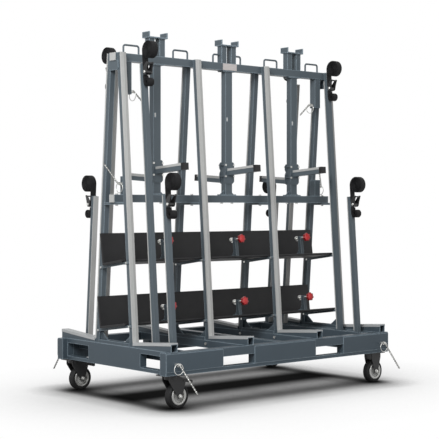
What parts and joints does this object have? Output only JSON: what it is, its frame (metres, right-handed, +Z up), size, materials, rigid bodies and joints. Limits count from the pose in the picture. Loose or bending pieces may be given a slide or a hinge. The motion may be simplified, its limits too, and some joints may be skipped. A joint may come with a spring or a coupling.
{
  "type": "slab a-frame cart",
  "caption": "Wheeled A-frame cart for standing slabs: leaning padded legs over ledges, inner trays with screw clamps, sliding side poles with wound straps, masts with arms.",
  "frame": {"origin": "centre of the overall box, on the floor under the wheels", "axes": "+X along the ridge towards the rigid casters, +Y towards the rear long side, +Z up"},
  "size_m": [1.6, 1.251, 1.909],
  "materials": {
    "frame_paint": "satin blue-grey powder coat",
    "facing": "matt pale grey plastic",
    "black_board": "matt black coated board",
    "zinc": "bright zinc plate",
    "caster_steel": "black painted pressed steel",
    "tyre": "dark rubber",
    "hub": "pale grey moulded plastic",
    "webbing": "black woven webbing",
    "knob_red": "red moulded plastic"
  },
  "bodies": {
    "frame": {"long_sills": "frame_paint", "end_beams": "frame_paint", "cross_members": "frame_paint", "pole_rails": "frame_paint", "ledge_beams": "frame_paint", "ledge_strips": "facing", "legs": "frame_paint", "leg_facings": "facing", "leg_gussets": "frame_paint", "ridge_beam": "frame_paint", "mid_rail": "frame_paint", "cross_rungs": "frame_paint", "tray_shelves": "black_board", "tray_boards": "black_board", "masts": "frame_paint", "mast_heads": "frame_paint", "ridge_handles": "frame_paint", "accessory_sockets": "frame_paint", "lock_pins": "zinc", "clamp_posts": "frame_paint", "frame_bolts": "zinc", "caster_brackets": "caster_steel", "end_caps": "facing"},
    "caster_front_left": {"swivel_fork_front": "caster_steel"},
    "pedal_front_left": {"brake_pedal_front": "caster_steel"},
    "wheel_front_left": {"tyre_front_left": "tyre", "hub_front_left": "hub"},
    "wheel_front_right": {"tyre_front_right": "tyre", "hub_front_right": "hub"},
    "caster_rear_left": {"swivel_fork_rear": "caster_steel"},
    "pedal_rear_left": {"brake_pedal_rear": "caster_steel"},
    "wheel_rear_left": {"tyre_rear_left": "tyre", "hub_rear_left": "hub"},
    "wheel_rear_right": {"tyre_rear_right": "tyre", "hub_rear_right": "hub"},
    "pole_front_left_tall": {"pole_front_left_tall": "frame_paint", "strap_front_left_tall": "webbing"},
    "pole_front_right_tall": {"pole_front_right_tall": "frame_paint", "strap_front_right_tall": "webbing"},
    "pole_rear_left_tall": {"pole_rear_left_tall": "frame_paint", "strap_rear_left_tall": "webbing"},
    "pole_rear_right_tall": {"pole_rear_right_tall": "frame_paint", "strap_rear_right_tall": "webbing"},
    "pole_front_left_short": {"pole_front_left_short": "frame_paint", "strap_front_left_short": "webbing"},
    "pole_front_right_short": {"pole_front_right_short": "frame_paint", "strap_front_right_short": "webbing"},
    "pole_rear_left_short": {"pole_rear_left_short": "frame_paint", "strap_rear_left_short": "webbing"},
    "pole_rear_right_short": {"pole_rear_right_short": "frame_paint", "strap_rear_right_short": "webbing"},
    "arms_left": {"arms_left": "frame_paint"},
    "arms_centre": {"arms_centre": "frame_paint"},
    "arms_right": {"arms_right": "frame_paint"},
    "clamp_upper_left": {"clamp_upper_left": "knob_red"},
    "clamp_upper_centre": {"clamp_upper_centre": "knob_red"},
    "clamp_upper_right": {"clamp_upper_right": "knob_red"},
    "clamp_lower_left": {"clamp_lower_left": "knob_red"},
    "clamp_lower_centre": {"clamp_lower_centre": "knob_red"},
    "clamp_lower_right": {"clamp_lower_right": "knob_red"}
  },
  "joints": [
    {"name": "swivel_front_left", "type": "hinge", "parent": "frame", "child": "caster_front_left", "pos_m": [-0.73, -0.42, 0.155], "axis": [0, 0, 1], "continuous": true},
    {"name": "brake_front_left", "type": "hinge", "parent": "caster_front_left", "child": "pedal_front_left", "pos_m": [-0.668, -0.42, 0.137], "axis": [0, 1, 0], "range_deg": [0, 12]},
    {"name": "roll_front_left", "type": "hinge", "parent": "caster_front_left", "child": "wheel_front_left", "pos_m": [-0.692, -0.42, 0.0625], "axis": [0, 1, 0], "continuous": true},
    {"name": "roll_front_right", "type": "hinge", "parent": "frame", "child": "wheel_front_right", "pos_m": [0.73, -0.42, 0.0625], "axis": [0, 1, 0], "continuous": true},
    {"name": "swivel_rear_left", "type": "hinge", "parent": "frame", "child": "caster_rear_left", "pos_m": [-0.73, 0.42, 0.155], "axis": [0, 0, 1], "continuous": true},
    {"name": "brake_rear_left", "type": "hinge", "parent": "caster_rear_left", "child": "pedal_rear_left", "pos_m": [-0.668, 0.42, 0.137], "axis": [0, 1, 0], "range_deg": [0, 12]},
    {"name": "roll_rear_left", "type": "hinge", "parent": "caster_rear_left", "child": "wheel_rear_left", "pos_m": [-0.692, 0.42, 0.0625], "axis": [0, 1, 0], "continuous": true},
    {"name": "roll_rear_right", "type": "hinge", "parent": "frame", "child": "wheel_rear_right", "pos_m": [0.73, 0.42, 0.0625], "axis": [0, 1, 0], "continuous": true},
    {"name": "slide_front_left_tall", "type": "slide", "parent": "frame", "child": "pole_front_left_tall", "axis": [0, -1, 0], "range_m": [-0.05, 0.04]},
    {"name": "slide_front_right_tall", "type": "slide", "parent": "frame", "child": "pole_front_right_tall", "axis": [0, -1, 0], "range_m": [-0.05, 0.04]},
    {"name": "slide_rear_left_tall", "type": "slide", "parent": "frame", "child": "pole_rear_left_tall", "axis": [0, 1, 0], "range_m": [-0.05, 0.04]},
    {"name": "slide_rear_right_tall", "type": "slide", "parent": "frame", "child": "pole_rear_right_tall", "axis": [0, 1, 0], "range_m": [-0.05, 0.03]},
    {"name": "slide_front_left_short", "type": "slide", "parent": "frame", "child": "pole_front_left_short", "axis": [0, -1, 0], "range_m": [-0.03, 0.025]},
    {"name": "slide_front_right_short", "type": "slide", "parent": "frame", "child": "pole_front_right_short", "axis": [0, -1, 0], "range_m": [-0.03, 0.03]},
    {"name": "slide_rear_left_short", "type": "slide", "parent": "frame", "child": "pole_rear_left_short", "axis": [0, 1, 0], "range_m": [-0.03, 0.027]},
    {"name": "slide_rear_right_short", "type": "slide", "parent": "frame", "child": "pole_rear_right_short", "axis": [0, 1, 0], "range_m": [-0.03, 0.017]},
    {"name": "height_arms_left", "type": "slide", "parent": "frame", "child": "arms_left", "axis": [0, 0, 1], "range_m": [-0.02, 0.4]},
    {"name": "height_arms_centre", "type": "slide", "parent": "frame", "child": "arms_centre", "axis": [0, 0, 1], "range_m": [-0.02, 0.4]},
    {"name": "height_arms_right", "type": "slide", "parent": "frame", "child": "arms_right", "axis": [0, 0, 1], "range_m": [-0.02, 0.4]},
    {"name": "press_upper_left", "type": "slide", "parent": "frame", "child": "clamp_upper_left", "axis": [0, 0.9903, -0.1392], "range_m": [-0.014, 0.034]},
    {"name": "press_upper_centre", "type": "slide", "parent": "frame", "child": "clamp_upper_centre", "axis": [0, 0.9903, -0.1392], "range_m": [-0.014, 0.034]},
    {"name": "press_upper_right", "type": "slide", "parent": "frame", "child": "clamp_upper_right", "axis": [0, 0.9903, -0.1392], "range_m": [-0.014, 0.034]},
    {"name": "press_lower_left", "type": "slide", "parent": "frame", "child": "clamp_lower_left", "axis": [0, 0.9903, -0.1392], "range_m": [-0.014, 0.034]},
    {"name": "press_lower_centre", "type": "slide", "parent": "frame", "child": "clamp_lower_centre", "axis": [0, 0.9903, -0.1392], "range_m": [-0.014, 0.034]},
    {"name": "press_lower_right", "type": "slide", "parent": "frame", "child": "clamp_lower_right", "axis": [0, 0.9903, -0.1392], "range_m": [-0.014, 0.034]}
  ]
}
